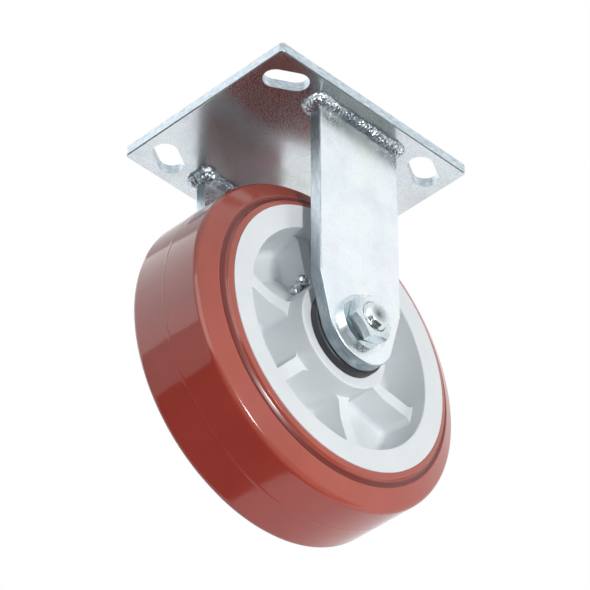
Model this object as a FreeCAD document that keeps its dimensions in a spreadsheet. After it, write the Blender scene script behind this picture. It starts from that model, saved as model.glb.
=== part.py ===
import FreeCAD, Part
import Sketcher
import math
import os

# Fixed plate castor with one wheel, in millimetres.
# X is the rolling direction, Y the axle, Z up.
# The origin is the centre of the plate's top face, the face that is bolted on.
# The nut side of the castor is at -Y and the bolt's head at +Y.

doc = FreeCAD.newDocument("fixed_castor")
sheet = doc.addObject("Spreadsheet::Sheet", "sizes")

# Driving dimensions
sizes = {
    # top plate, 3/16 in sheet
    "plate_length": 114.3,
    "plate_width": 97.8,
    "plate_thickness": 4.8,
    "plate_corner": 2,
    "sheared_edge": 0.8,
    "slot_edge_x": 10.7,
    "slot_edge_y": 14.75,
    "slot_run_x": 8,
    "slot_run_y": 4.5,
    "slot_width": 11.4,
    # legs, cut from flat bar and welded on edge under the plate
    "leg_gap": 65,
    "leg_thickness": 6,
    "leg_width": 47.4,
    "leg_end_radius": 18.7,
    "leg_taper_height": 16.7,
    "axle_depth": 114.3,
    "weld_leg": 4.5,
    "weld_toe": 0.4,
    # axle bolt, nut and washers
    "bolt_radius": 6.35,
    "bolt_hole_clearance": 0.3,
    "bolt_point_chamfer": 1.5,
    "bolt_past_nut": 2.2,
    "head_height": 7.9,
    "hex_across_flats": 19.05,
    "nut_height": 6,
    "hex_face_share": 0.95,
    "hex_chamfer": 28,
    "nut_turn": 17,
    "head_turn": 41,
    "flat_washer_radius": 12.8,
    "flat_washer_thickness": 2.1,
    # roller bearing: sleeve, cage and rollers
    "sleeve_radius": 9.52,
    "sleeve_bore_clearance": 0.15,
    "bore_radius": 15.08,
    "roller_count": 10,
    "roller_clearance": 0.12,
    "roller_length": 42,
    "roller_chamfer": 0.4,
    "cage_wall": 1.6,
    "cage_end_clearance": 0.4,
    "pocket_clearance": 0.3,
    # thrust washers at the hub's ends
    "thrust_radius": 19.9,
    "thrust_running_gap": 0.35,
    "thrust_spigot": 3,
    "thrust_sleeve_clearance": 0.3,
    "thrust_edge": 0.5,
    # moulded wheel core
    "hub_length": 57,
    "hub_radius": 24.6,
    "hub_draft": 0.6,
    "web_thickness": 8,
    "web_fillet": 2.8,
    "rim_width": 53,
    "rim_wall": 10.5,
    "rim_draft": 0.8,
    "moulded_edge": 0.6,
    "rib_count": 6,
    "rib_thickness": 6.1,
    "rib_hub_height": 20.8,
    "rib_kink_height": 18.4,
    "rib_kink_radius": 34.5,
    "rib_rim_height": 19.7,
    "rib_turn": 13,
    "key_height": 3.3,
    "key_width": 22,
    "key_slope": 4,
    # cast tyre
    "tyre_radius": 76.2,
    "tyre_thickness": 14.6,
    "tread_width": 36.8,
    "tread_edge_round": 2.4,
    "bevel_foot_rise": 4.5,
    "bevel_foot_width": 48,
    "side_step": 0.6,
    "side_ring_width": 0.3,
    "side_ring_drop": 0.4,
    # grease nipple in the hub
    "grease_angle": 121,
    "grease_pad_radius": 36.9,
    "grease_pad_height": 15.5,
    "nipple_seat_radius": 26.3,
    "nipple_seat_height": 13.4,
    "nipple_tilt": 28,
    "nipple_collar_radius": 3.4,
    "nipple_collar_height": 2,
    "nipple_shank_radius": 2.4,
    "nipple_shank_length": 4,
    "nipple_neck_radius": 2.1,
    "nipple_head_radius": 3.2,
    "nipple_height": 9,
    "nipple_neck_share": 0.55,
    "nipple_head_share": 0.7,
    "nipple_rim_share": 0.82,
    "nipple_tip_share": 0.62,
    "nipple_channel_radius": 1.3,
    "nipple_mouth_radius": 0.9,
    "spot_face_clearance": 0.6,
    "grease_channel_radius": 1.5,
    "grease_channel_length": 28,
    "nipple_ball_radius": 1.2,
    "nipple_spring_wire": 0.15,
    "nipple_spring_gap": 0.1,
    "nipple_spring_turns": 5,
}
for row, (alias, value) in enumerate(sizes.items(), start=1):
    cell = "B%d" % row
    sheet.set("A%d" % row, alias)
    sheet.set(cell, str(value))
    sheet.setAlias(cell, alias)
doc.recompute()

# Sizes that several pieces share, as expressions on the sheet
washer_face = "(sizes.leg_gap / 2 + sizes.leg_thickness + sizes.flat_washer_thickness)"
hub_half = "(sizes.hub_length / 2)"
rim_half = "(sizes.rim_width / 2)"
web_half = "(sizes.web_thickness / 2)"
key_half = "(sizes.key_width / 2)"
thrust_face = "(sizes.leg_gap / 2 - sizes.thrust_running_gap)"
spigot_end = "(sizes.hub_length / 2 - sizes.thrust_spigot)"
pitch_radius = "((sizes.sleeve_radius + sizes.bore_radius) / 2)"
roller_radius = "((sizes.bore_radius - sizes.sleeve_radius) / 2 - sizes.roller_clearance)"
cage_half = "(%s - sizes.cage_end_clearance)" % spigot_end
side_ring = "(sizes.rim_width / 2 - sizes.side_ring_drop)"
bevel_foot = "(sizes.bevel_foot_width / 2)"
seat_radius = "(sizes.tyre_radius - sizes.tyre_thickness)"
rim_radius = "(sizes.tyre_radius - sizes.tyre_thickness - sizes.rim_wall)"
key_top = "(%s + sizes.key_height)" % seat_radius
bevel_foot_radius = "(%s + sizes.bevel_foot_rise)" % seat_radius
key_foot = "(sizes.key_width / 2 + sizes.key_slope)"
ball_height = ("(sizes.nipple_height - sizes.nipple_mouth_radius"
               " - sqrt(pow(sizes.nipple_ball_radius; 2) - pow(sizes.nipple_mouth_radius; 2)))")
spring_top = "(%s - sizes.nipple_ball_radius)" % ball_height

# The axle frame has its z axis along the axle, towards the nut side.
# The wheel frame is turned in it, so that its x axis points at the grease nipple.
axle_frame = "placement(vector(0; 0; -sizes.axle_depth); rotation(vector(1; 0; 0); 90))"
wheel_frame = axle_frame + " * placement(vector(0; 0; 0); rotation(vector(0; 0; 1); sizes.grease_angle))"
nipple_frame = (wheel_frame + " * placement(vector(sizes.nipple_seat_radius; 0; sizes.nipple_seat_height);"
                " rotation(vector(0; 1; 0); sizes.nipple_tilt))")

parts = []


def new_body(label, frame=None):
    body = doc.addObject("PartDesign::Body", label)
    body.Label = label
    if frame:
        body.setExpression("Placement", frame)
    parts.append(body)
    return body


def origin_feature(body, role):
    return [f for f in body.Origin.OriginFeatures if f.Role == role][0]


def new_sketch(body, name, plane):
    sketch = body.newObject("Sketcher::SketchObject", name)
    sketch.AttachmentSupport = [(origin_feature(body, plane), "")]
    sketch.MapMode = "FlatFace"
    return sketch


def pin_point(sketch, geometry, end, across, up):
    """Hold one point of a sketch at two expressions from the sketch's origin."""
    for kind, text in (("DistanceX", across), ("DistanceY", up)):
        start = float(sketch.evalExpression(text))
        index = sketch.addConstraint(Sketcher.Constraint(kind, -1, 1, geometry, end, start))
        sketch.setExpression("Constraints[%d]" % index, text)


def add_polygon(sketch, corners):
    """Add a closed outline whose corners are pairs of expressions."""
    count = len(corners)
    first = sketch.GeometryCount
    ring = [FreeCAD.Vector(math.cos(2 * math.pi * i / count), math.sin(2 * math.pi * i / count), 0)
            for i in range(count)]
    for i in range(count):
        sketch.addGeometry(Part.LineSegment(ring[i], ring[(i + 1) % count]), False)
    for i in range(count):
        after = first + (i + 1) % count
        sketch.addConstraint(Sketcher.Constraint("Coincident", first + i, 2, after, 1))
    for i, (across, up) in enumerate(corners):
        pin_point(sketch, first + i, 1, across, up)


def add_circle(sketch, across, up, radius):
    circle = sketch.addGeometry(Part.Circle(FreeCAD.Vector(1, 1, 0), FreeCAD.Vector(0, 0, 1), 1), False)
    pin_point(sketch, circle, 3, across, up)
    index = sketch.addConstraint(Sketcher.Constraint("Radius", circle, 1.0))
    sketch.setExpression("Constraints[%d]" % index, radius)


def add_feature(body, kind, name, sketch, **settings):
    feature = body.newObject("PartDesign::" + kind, name)
    feature.Profile = sketch
    for key, value in settings.items():
        setattr(feature, key, value)
    body.Tip = feature
    return feature


def revolve(body, name, corners, kind="Revolution", sketch=None):
    """Turn an outline of radius and height about the body's z axis."""
    sketch = sketch or new_sketch(body, name + "_section", "XZ_Plane")
    add_polygon(sketch, corners)
    feature = add_feature(body, kind, name, sketch)
    feature.ReferenceAxis = (sketch, ["V_Axis"])
    feature.Angle = 360
    doc.recompute()
    return feature


def edges_of(feature, wanted):
    """Names of the edges whose middle point passes the test."""
    names = []
    for number, edge in enumerate(feature.Shape.Edges, start=1):
        middle = edge.valueAt((edge.FirstParameter + edge.LastParameter) / 2)
        if wanted(edge, middle):
            names.append("Edge%d" % number)
    return names


def soften(body, kind, name, base, wanted, size):
    """Fillet or chamfer the edges that pass the test."""
    feature = body.newObject("PartDesign::" + kind, name)
    feature.Base = (base, edges_of(base, wanted))
    feature.setExpression("Radius" if kind == "Fillet" else "Size", size)
    body.Tip = feature
    doc.recompute()
    return feature


def value(text):
    """The number that an alias of the sheet holds."""
    return float(getattr(sheet, text))


def hexagon(across_flats, turn):
    """Corners of a hexagon about the origin, as expressions."""
    corner = "(%s / sqrt(3))" % across_flats
    return [("%s * cos(%s + %d)" % (corner, turn, 60 * i), "%s * sin(%s + %d)" % (corner, turn, 60 * i))
            for i in range(6)]


# Top plate: sheared sheet with four slots that point between two bolt patterns
def make_top_plate():
    body = new_body("top_plate")
    outline = new_sketch(body, "plate_outline", "XY_Plane")
    half_x, half_y = "sizes.plate_length / 2", "sizes.plate_width / 2"
    add_polygon(outline, [("-" + half_x, "-" + half_y), (half_x, "-" + half_y),
                          (half_x, half_y), ("-" + half_x, half_y)])
    plate = add_feature(body, "Pad", "plate_sheet", outline, Reversed=True)
    plate.setExpression("Length", "sizes.plate_thickness")
    doc.recompute()
    corners = soften(body, "Fillet", "plate_corners", plate,
                     lambda edge, middle: abs(edge.Length - plate.Length.Value) < 1e-6, "sizes.plate_corner")
    underside = -value("plate_thickness")
    rolled = soften(body, "Fillet", "plate_rolled_edge", corners,
                    lambda edge, middle: abs(middle.z - underside) < 1e-6, "sizes.sheared_edge")
    slots = new_sketch(body, "plate_slots", "XY_Plane")
    for side_x in (-1, 1):
        for side_y in (-1, 1):
            add_slot(slots, side_x, side_y)
    pocket = add_feature(body, "Pocket", "plate_slot_cut", slots, Type="ThroughAll")
    doc.recompute()
    if pocket.Shape.Volume >= rolled.Shape.Volume - 1:
        raise RuntimeError("the slots do not cut the plate")


def add_slot(sketch, side_x, side_y):
    """One round-ended slot, placed from the plate's edges."""
    far_x = "(sizes.plate_length / 2 - sizes.slot_edge_x)"
    far_y = "(sizes.plate_width / 2 - sizes.slot_edge_y)"
    centres = [(far_x, far_y), ("(%s - sizes.slot_run_x)" % far_x, "(%s + sizes.slot_run_y)" % far_y)]
    radius = value("slot_width") / 2
    far = FreeCAD.Vector(side_x * (value("plate_length") / 2 - value("slot_edge_x")),
                         side_y * (value("plate_width") / 2 - value("slot_edge_y")), 0)
    near = far + FreeCAD.Vector(-side_x * value("slot_run_x"), side_y * value("slot_run_y"), 0)
    heading = math.atan2(near.y - far.y, near.x - far.x)
    arcs = []
    for centre, start in ((far, heading + math.pi / 2), (near, heading - math.pi / 2)):
        circle = Part.Circle(centre, FreeCAD.Vector(0, 0, 1), radius)
        arcs.append(sketch.addGeometry(Part.ArcOfCircle(circle, start, start + math.pi), False))
    for tail, head in ((arcs[0], arcs[1]), (arcs[1], arcs[0])):
        ends = sketch.Geometry[tail].EndPoint, sketch.Geometry[head].StartPoint
        line = sketch.addGeometry(Part.LineSegment(*ends), False)
        sketch.addConstraint(Sketcher.Constraint("Tangent", tail, 2, line, 1))
        sketch.addConstraint(Sketcher.Constraint("Tangent", line, 2, head, 1))
    for arc, (across, up) in zip(arcs, centres):
        pin_point(sketch, arc, 3, "%d * %s" % (side_x, across), "%d * %s" % (side_y, up))
    index = sketch.addConstraint(Sketcher.Constraint("Radius", arcs[0], radius))
    sketch.setExpression("Constraints[%d]" % index, "sizes.slot_width / 2")


# Legs: flat bar with straight sides that taper to a round end about the axle
def make_leg(label, frame, side):
    body = new_body(label, frame)
    sketch = new_sketch(body, "leg_outline", "XZ_Plane")
    half = value("leg_width") / 2
    top, bend = -value("plate_thickness"), value("leg_taper_height") - value("axle_depth")
    radius, depth = value("leg_end_radius"), -value("axle_depth")
    outline = [(-radius, depth), (-half, bend), (-half, top), (half, top), (half, bend), (radius, depth)]
    corners = [FreeCAD.Vector(across, up, 0) for across, up in outline]
    for tail, head in zip(corners, corners[1:]):
        sketch.addGeometry(Part.LineSegment(tail, head), False)
    circle = Part.Circle(FreeCAD.Vector(0, depth, 0), FreeCAD.Vector(0, 0, 1), radius)
    end = sketch.addGeometry(Part.ArcOfCircle(circle, math.pi, 2 * math.pi), False)
    for line in range(4):
        sketch.addConstraint(Sketcher.Constraint("Coincident", line, 2, line + 1, 1))
    sketch.addConstraint(Sketcher.Constraint("Tangent", end, 1, 0, 1))
    sketch.addConstraint(Sketcher.Constraint("Tangent", 4, 2, end, 2))
    half_width, plate_under = "sizes.leg_width / 2", "-sizes.plate_thickness"
    taper = "sizes.leg_taper_height - sizes.axle_depth"
    pin_point(sketch, 1, 1, "-" + half_width, taper)
    pin_point(sketch, 2, 1, "-" + half_width, plate_under)
    pin_point(sketch, 3, 1, half_width, plate_under)
    pin_point(sketch, 4, 1, half_width, taper)
    pin_point(sketch, end, 3, "0", "-sizes.axle_depth")
    index = sketch.addConstraint(Sketcher.Constraint("Radius", end, radius))
    sketch.setExpression("Constraints[%d]" % index, "sizes.leg_end_radius")
    bar = add_feature(body, "Pad", "leg_bar", sketch, Reversed=side > 0)
    bar.setExpression("Length", "sizes.leg_thickness")
    doc.recompute()
    outer_y = side * value("leg_thickness")
    rolled = soften(body, "Fillet", "leg_rolled_edge", bar,
                    lambda edge, middle: abs(middle.y - outer_y) < 1e-6 and middle.z < top - 1e-3,
                    "sizes.sheared_edge")
    hole = new_sketch(body, "axle_hole", "XZ_Plane")
    add_circle(hole, "0", "-sizes.axle_depth", "sizes.bolt_radius + sizes.bolt_hole_clearance")
    cut = add_feature(body, "Pocket", "axle_hole_cut", hole, Type="ThroughAll", Reversed=side < 0)
    doc.recompute()
    if cut.Shape.Volume >= rolled.Shape.Volume - 1:
        raise RuntimeError("the axle hole does not cut %s" % label)


# Welds: a fillet bead that runs right round the foot of each leg
def make_weld(label, leg_y):
    size = "sizes.weld_leg"
    pieces = []

    def piece(kind, name, settings):
        solid = doc.addObject("Part::" + kind, label + "_" + name)
        for key, text in settings.items():
            solid.setExpression(key, text)
        pieces.append(solid)
        return solid

    for side in (-1, 1):
        # long runs along the leg's faces
        across = "%s + %d * sizes.leg_thickness / 2" % (leg_y, side)
        run = piece("Wedge", "face_run_%s" % ("in" if side > 0 else "out"), {
            "Xmin": "-sizes.leg_width / 2", "Xmax": "sizes.leg_width / 2",
            "X2min": "-sizes.leg_width / 2", "X2max": "sizes.leg_width / 2",
            "Ymin": "0", "Ymax": size, "Zmin": "0", "Zmax": size,
            "Z2min": "0", "Z2max": "sizes.weld_toe"})
        spin = 0 if side > 0 else 180
        run.setExpression("Placement", "placement(vector(0; %s; -sizes.plate_thickness);"
                          " rotation(vector(0; 0; 1); %d) * rotation(vector(1; 0; 0); -90))"
                          % (across, spin))
        # short runs across the leg's edges
        end = piece("Wedge", "edge_run_%s" % ("front" if side > 0 else "back"), {
            "Xmin": "-sizes.leg_thickness / 2", "Xmax": "sizes.leg_thickness / 2",
            "X2min": "-sizes.leg_thickness / 2", "X2max": "sizes.leg_thickness / 2",
            "Ymin": "0", "Ymax": size, "Zmin": "0", "Zmax": size,
            "Z2min": "0", "Z2max": "sizes.weld_toe"})
        turn = -90 if side > 0 else 90
        end.setExpression("Placement", "placement(vector(%d * sizes.leg_width / 2; %s;"
                          " -sizes.plate_thickness); rotation(vector(0; 0; 1); %d)"
                          " * rotation(vector(1; 0; 0); -90))" % (side, leg_y, turn))
        # round corners
        for side_y in (-1, 1):
            name = "corner_%s%s" % ("front" if side > 0 else "back", "_in" if side_y > 0 else "_out")
            corner = piece("Cone", name, {"Radius1": "sizes.weld_toe", "Radius2": size, "Height": size})
            corner.Angle = 360
            corner.setExpression("Placement", "placement(vector(%d * sizes.leg_width / 2;"
                                 " %s + %d * sizes.leg_thickness / 2; -sizes.plate_thickness - %s);"
                                 " rotation(vector(0; 0; 1); 0))" % (side, leg_y, side_y, size))
    bead = doc.addObject("Part::MultiFuse", label + "_bead")
    bead.Shapes = pieces
    bar = doc.addObject("Part::Box", label + "_leg_section")
    for key, text in (("Length", "sizes.leg_width"), ("Width", "sizes.leg_thickness"), ("Height", size)):
        bar.setExpression(key, text)
    bar.setExpression("Placement", "placement(vector(-sizes.leg_width / 2; %s - sizes.leg_thickness / 2;"
                      " -sizes.plate_thickness - %s); rotation(vector(0; 0; 1); 0))" % (leg_y, size))
    weld = doc.addObject("Part::Cut", label)
    weld.Label = label
    weld.Base = bead
    weld.Tool = bar
    doc.recompute()
    parts.append(weld)


# Hexagon prism whose outer face has its corners turned off
def add_hexagon(body, name, low, high, turn, outer_face):
    sketch = new_sketch(body, name + "_outline", "XY_Plane")
    sketch.setExpression("AttachmentOffset.Base.z", low)
    add_polygon(sketch, hexagon("sizes.hex_across_flats", turn))
    prism = add_feature(body, "Pad", name, sketch)
    prism.setExpression("Length", "%s - %s" % (high, low))
    doc.recompute()
    lead = "(sizes.hex_across_flats / 2 * sizes.hex_face_share)"
    far = "sizes.hex_across_flats"
    face, sign = (high, "-") if outer_face == "high" else (low, "+")
    back = "%s %s (%s - %s) * tan(sizes.hex_chamfer)" % (face, sign, far, lead)
    cut = revolve(body, name + "_corners", [(lead, face), (far, face), (far, back)], "Groove")
    if cut.Shape.Volume >= prism.Shape.Volume - 1e-3:
        raise RuntimeError("the corners of %s are not cut" % name)


def make_axle_bolt():
    body = new_body("axle_bolt", axle_frame)
    nut_end = "(%s + sizes.nut_height + sizes.bolt_past_nut)" % washer_face
    radius, point = "sizes.bolt_radius", "sizes.bolt_point_chamfer"
    revolve(body, "shank", [("0", "-" + washer_face), (radius, "-" + washer_face),
                            (radius, "%s - %s" % (nut_end, point)),
                            ("%s - %s" % (radius, point), nut_end), ("0", nut_end)])
    add_hexagon(body, "head", "(-%s - sizes.head_height)" % washer_face, "(-%s)" % washer_face,
                "sizes.head_turn", "low")


def make_axle_nut():
    body = new_body("axle_nut", axle_frame)
    nut_face = "(%s + sizes.nut_height)" % washer_face
    add_hexagon(body, "nut", washer_face, nut_face, "sizes.nut_turn", "high")
    hole = new_sketch(body, "nut_bore", "XY_Plane")
    add_circle(hole, "0", "0", "sizes.bolt_radius")
    add_feature(body, "Pocket", "nut_bore_cut", hole, Type="ThroughAll", Reversed=True)
    doc.recompute()


def make_flat_washer(label, side):
    body = new_body(label, axle_frame)
    inner, outer = "sizes.bolt_radius + sizes.bolt_hole_clearance", "sizes.flat_washer_radius"
    leg_face = "%d * (sizes.leg_gap / 2 + sizes.leg_thickness)" % side
    far_face = "%d * %s" % (side, washer_face)
    revolve(body, "ring", [(inner, leg_face), (outer, leg_face), (outer, far_face), (inner, far_face)])


# Bearing: a fixed sleeve between the legs, and rollers in a cage round it
def make_inner_sleeve():
    body = new_body("inner_sleeve", axle_frame)
    inner, outer = "sizes.bolt_radius + sizes.sleeve_bore_clearance", "sizes.sleeve_radius"
    end = "sizes.leg_gap / 2"
    revolve(body, "tube", [(inner, "-" + end), (outer, "-" + end), (outer, end), (inner, end)])


def make_roller_cage():
    body = new_body("roller_cage", axle_frame)
    inner = "%s - sizes.cage_wall / 2" % pitch_radius
    outer = "%s + sizes.cage_wall / 2" % pitch_radius
    tube = revolve(body, "cage_tube", [(inner, "-" + cage_half), (outer, "-" + cage_half),
                                       (outer, cage_half), (inner, cage_half)])
    sketch = new_sketch(body, "pocket_outline", "YZ_Plane")
    half_wide = "(%s + sizes.pocket_clearance)" % roller_radius
    half_long = "(sizes.roller_length / 2 + sizes.pocket_clearance)"
    add_polygon(sketch, [("-" + half_wide, "-" + half_long), (half_wide, "-" + half_long),
                         (half_wide, half_long), ("-" + half_wide, half_long)])
    pocket = add_feature(body, "Pocket", "pocket", sketch, Type="ThroughAll", Reversed=True)
    doc.recompute()
    if pocket.Shape.Volume >= tube.Shape.Volume - 1:
        raise RuntimeError("the pocket does not cut the cage")
    repeat_round(body, "pockets", pocket, "sizes.roller_count")


def make_rollers():
    for number in range(int(value("roller_count"))):
        frame = (axle_frame + " * placement(vector(0; 0; 0); rotation(vector(0; 0; 1);"
                 " %d * 360 / sizes.roller_count)) * placement(vector(%s; 0; 0);"
                 " rotation(vector(0; 0; 1); 0))" % (number, pitch_radius))
        body = new_body("roller_%02d" % (number + 1), frame)
        radius, end = roller_radius, "(sizes.roller_length / 2)"
        chamfer = "sizes.roller_chamfer"
        turned_end, shoulder = "%s - %s" % (radius, chamfer), "%s - %s" % (end, chamfer)
        revolve(body, "roller_pin_%02d" % (number + 1), [
            ("0", "-" + end), (turned_end, "-" + end), (radius, "-(%s)" % shoulder),
            (radius, shoulder), (turned_end, end), ("0", end)])


def make_thrust_washer(label, side):
    body = new_body(label, axle_frame)
    inner = "(sizes.sleeve_radius + sizes.thrust_sleeve_clearance)"
    spigot, outer, edge = "sizes.bore_radius", "sizes.thrust_radius", "sizes.thrust_edge"
    heights = {"end": spigot_end, "hub": hub_half, "face": thrust_face,
               "edge": "(%s - %s)" % (thrust_face, edge)}
    at = {name: "%d * %s" % (side, text) for name, text in heights.items()}
    revolve(body, "flange", [(inner, at["end"]), (spigot, at["end"]), (spigot, at["hub"]),
                             (outer, at["hub"]), (outer, at["edge"]),
                             ("%s - %s" % (outer, edge), at["face"]), (inner, at["face"])])


# Wheel core: hub, web, rim and ribs moulded in one, with a raised key under the tyre
def make_wheel_core():
    body = new_body("wheel_core", wheel_frame)
    hub, hub_foot = "sizes.hub_radius", "sizes.hub_radius + sizes.hub_draft"
    rim, rim_foot = rim_radius, "%s - sizes.rim_draft" % rim_radius
    side = [("sizes.bore_radius", hub_half), (hub, hub_half), (hub_foot, web_half), (rim_foot, web_half),
            (rim, rim_half), (seat_radius, rim_half), (seat_radius, key_foot), (key_top, key_half)]
    section = [(r, "-" + z) for r, z in side] + [(r, z) for r, z in reversed(side)]
    turned = revolve(body, "core_section", section)
    rings = ((value("hub_radius"), value("hub_length") / 2),
             (value("tyre_radius") - value("tyre_thickness") - value("rim_wall"), value("rim_width") / 2))
    soften(body, "Fillet", "moulded_edges", turned,
           lambda edge, middle: is_ring(edge) and any(abs(edge.Curve.Radius - r) < 1e-6
                                                      and abs(abs(middle.z) - z) < 1e-6 for r, z in rings),
           "sizes.moulded_edge")
    ribs = new_radial_sketch(body, "rib_outline", "-sizes.rib_turn")
    root = "(sizes.bore_radius + sizes.hub_radius) / 2"
    tip = "(%s + sizes.rim_wall / 2)" % rim_radius
    kink = "sizes.rib_kink_radius"
    add_polygon(ribs, [(root, "-sizes.rib_hub_height"), (kink, "-sizes.rib_kink_height"),
                       (tip, "-sizes.rib_rim_height"), (tip, "sizes.rib_rim_height"),
                       (kink, "sizes.rib_kink_height"), (root, "sizes.rib_hub_height")])
    rib = add_feature(body, "Pad", "rib", ribs, SideType="Symmetric")
    rib.setExpression("Length", "sizes.rib_thickness")
    doc.recompute()
    ring = repeat_round(body, "ribs", rib, "sizes.rib_count")
    soften(body, "Fillet", "web_feet", ring, in_recess, "sizes.web_fillet")
    make_grease_seat(body)


def in_recess(edge, middle):
    """Whether an edge is an inside corner of the recesses between hub, rim, web and ribs."""
    foot = value("web_thickness") / 2
    low = min(abs(vertex.Point.z) for vertex in edge.Vertexes)
    radius = math.hypot(middle.x, middle.y)
    rim = value("tyre_radius") - value("tyre_thickness") - value("rim_wall")
    return abs(low - foot) < 1e-6 and value("hub_radius") - 0.01 < radius < rim + 0.01


def is_ring(edge):
    return isinstance(edge.Curve, Part.Circle) and edge.isClosed()


def new_radial_sketch(body, name, turn):
    """A sketch in a plane through the body's z axis, turned about that axis."""
    sketch = new_sketch(body, name, "XZ_Plane")
    about_y = FreeCAD.Rotation(FreeCAD.Vector(0, 1, 0), 1)
    sketch.AttachmentOffset = FreeCAD.Placement(FreeCAD.Vector(), about_y)
    sketch.setExpression("AttachmentOffset.Rotation.Angle", turn)
    return sketch


def repeat_round(body, name, feature, count):
    """Repeat a feature evenly about the body's z axis."""
    ring = body.newObject("PartDesign::PolarPattern", name)
    ring.Originals = [feature]
    ring.Axis = (origin_feature(body, "Z_Axis"), [""])
    ring.Angle = 360
    ring.setExpression("Occurrences", count)
    body.Tip = ring
    doc.recompute()
    return ring


def make_grease_seat(body):
    """A conical pad between two ribs, with the nipple's seat and its channel to the bearing."""
    pad = new_radial_sketch(body, "grease_pad_section", "180 / sizes.rib_count - sizes.rib_turn")
    root = "(sizes.bore_radius + sizes.hub_radius) / 2"
    add_polygon(pad, [(root, "0"), ("sizes.grease_pad_radius", "0"), ("sizes.grease_pad_radius", web_half),
                      ("sizes.hub_radius", "sizes.grease_pad_height"), (root, "sizes.grease_pad_height")])
    cone = add_feature(body, "Revolution", "grease_pad", pad, Midplane=True)
    cone.ReferenceAxis = (pad, ["V_Axis"])
    cone.setExpression("Angle", "360 / sizes.rib_count")
    doc.recompute()
    seat = new_sketch(body, "nipple_seat_section", "XZ_Plane")
    tilt = FreeCAD.Rotation(FreeCAD.Vector(0, 0, -1), 1)
    seat.AttachmentOffset = FreeCAD.Placement(FreeCAD.Vector(), tilt)
    seat.setExpression("AttachmentOffset.Base.x", "sizes.nipple_seat_radius")
    seat.setExpression("AttachmentOffset.Base.y", "sizes.nipple_seat_height")
    seat.setExpression("AttachmentOffset.Rotation.Angle", "sizes.nipple_tilt")
    face = "sizes.nipple_collar_radius + sizes.spot_face_clearance"
    top = "sizes.nipple_height"
    shank, channel = "sizes.nipple_shank_radius", "sizes.grease_channel_radius"
    shank_end, channel_end = "-sizes.nipple_shank_length", "-sizes.grease_channel_length"
    before = cone.Shape.Volume
    section = [("0", top), (face, top), (face, "0"), (shank, "0"), (shank, shank_end),
               (channel, shank_end), (channel, channel_end), ("0", channel_end)]
    cut = revolve(body, "nipple_seat", section, "Groove", seat)
    if cut.Shape.Volume >= before - 1:
        raise RuntimeError("the nipple's seat does not cut the core")


# Tyre: cast round the core's rim and over its key
def make_tyre():
    body = new_body("tyre", wheel_frame)
    shoulder = "sizes.tread_width / 2"
    side = [(seat_radius, side_ring), ("%s + sizes.side_ring_width" % seat_radius, side_ring),
            (bevel_foot_radius, "(%s + sizes.side_step)" % bevel_foot),
            (bevel_foot_radius, bevel_foot),
            ("sizes.tyre_radius", shoulder)]
    inner = [(key_top, key_half), (seat_radius, key_foot)]
    section = ([(r, z) for r, z in inner] + side + [(r, "-(%s)" % z) for r, z in reversed(side)]
               + [(r, "-(%s)" % z) for r, z in reversed(inner)])
    turned = revolve(body, "tyre_section", section)
    soften(body, "Fillet", "tread_shoulders", turned,
           lambda edge, middle: (is_ring(edge)
                                 and abs(edge.Curve.Radius - value("tyre_radius")) < 1e-6),
           "sizes.tread_edge_round")


# Grease nipple: screwed body with a narrowed mouth that holds a ball on a spring
def make_grease_nipple():
    body = new_body("grease_nipple", nipple_frame)
    shank, collar = "sizes.nipple_shank_radius", "sizes.nipple_collar_radius"
    neck = "sizes.nipple_neck_radius"
    head, top = "sizes.nipple_head_radius", "sizes.nipple_height"
    channel, mouth = "sizes.nipple_channel_radius", "sizes.nipple_mouth_radius"
    outer = [(channel, "-sizes.nipple_shank_length"), (shank, "-sizes.nipple_shank_length"), (shank, "0"),
             (collar, "0"), (collar, "sizes.nipple_collar_height"), (neck, "sizes.nipple_collar_height"),
             (neck, top + " * sizes.nipple_neck_share"), (head, top + " * sizes.nipple_head_share"),
             (head, top + " * sizes.nipple_rim_share"), (head + " * sizes.nipple_tip_share", top)]
    inner = [(mouth, top), (mouth, "%s - %s" % (top, mouth)),
             (channel, "%s - %s - (%s - %s)" % (top, mouth, channel, mouth))]
    revolve(body, "nipple_turned", outer + inner)


def make_nipple_ball():
    ball = doc.addObject("Part::Sphere", "nipple_ball")
    ball.Label = "nipple_ball"
    ball.setExpression("Radius", "sizes.nipple_ball_radius")
    ball.setExpression("Placement", nipple_frame + " * placement(vector(0; 0; %s);"
                       " rotation(vector(0; 0; 1); 0))" % ball_height)
    parts.append(ball)


def make_nipple_spring():
    body = new_body("nipple_spring", nipple_frame)
    coil_radius = "(sizes.nipple_channel_radius - sizes.nipple_spring_wire - sizes.nipple_spring_gap)"
    low = "(sizes.nipple_spring_wire - sizes.nipple_shank_length)"
    spring_length = "(%s - sizes.nipple_spring_wire - %s)" % (spring_top, low)
    wire = new_sketch(body, "wire_section", "XZ_Plane")
    add_circle(wire, coil_radius, low, "sizes.nipple_spring_wire")
    doc.recompute()
    coil = body.newObject("PartDesign::AdditiveHelix", "coil")
    coil.Profile = wire
    coil.ReferenceAxis = (wire, ["V_Axis"])
    coil.Mode = "height-turns-angle"
    coil.setExpression("Height", spring_length)
    coil.setExpression("Turns", "sizes.nipple_spring_turns")
    body.Tip = coil
    doc.recompute()


def check_and_write():
    for obj in doc.Objects:
        if "Invalid" in obj.State or "Error" in obj.State:
            raise RuntimeError("%s did not compute" % obj.Name)
    os.makedirs("parts", exist_ok=True)
    for part in parts:
        if part.Shape.isNull() or not part.Shape.isValid():
            raise RuntimeError("%s has no valid shape" % part.Label)
        if len(part.Shape.Solids) != 1:
            raise RuntimeError("%s is not one solid" % part.Label)
        part.Shape.exportStep("parts/%s.step" % part.Label)
        print(part.Label, round(part.Shape.Volume, 2))


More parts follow.
